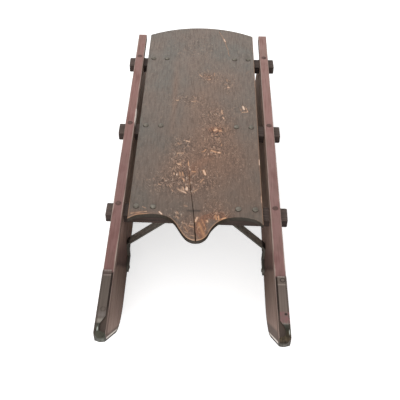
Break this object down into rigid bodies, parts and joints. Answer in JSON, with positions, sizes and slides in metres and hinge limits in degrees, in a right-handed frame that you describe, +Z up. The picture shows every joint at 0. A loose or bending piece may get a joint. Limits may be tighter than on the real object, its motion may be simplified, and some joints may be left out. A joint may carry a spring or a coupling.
{
  "type": "wooden pull sled",
  "caption": "Low wooden pull sled: a board deck with a curved nose on cross beams pegged through two plank runners with raked toes, flat rails, iron shoes and iron braces.",
  "frame": {"origin": "on the floor, under the middle of the sled's length and width", "axes": "+Z up, the toes point to -Y, X runs across the runners"},
  "size_m": [0.3726, 1.016, 0.183],
  "materials": {
    "deck_wood": "worn grey-brown board with scratches down to bare wood",
    "beam_wood": "dark weathered hardwood",
    "runner_wood": "old dark maroon paint, worn thin towards the toe",
    "rail_paint": "faded maroon paint over wood, worn along the edges",
    "shoe_iron": "worn wrought iron, dull and pitted",
    "brace_iron": "dark wrought iron, painted over"
  },
  "bodies": {
    "root": {"deck_board": "deck_wood", "crossbeam_front": "beam_wood", "crossbeam_middle": "beam_wood", "crossbeam_rear": "beam_wood", "runner_left": "runner_wood", "runner_right": "runner_wood", "rail_left": "rail_paint", "rail_right": "rail_paint", "shoe_left": "shoe_iron", "shoe_right": "shoe_iron", "brace_left": "brace_iron", "brace_right": "brace_iron"}
  },
  "joints": []
}
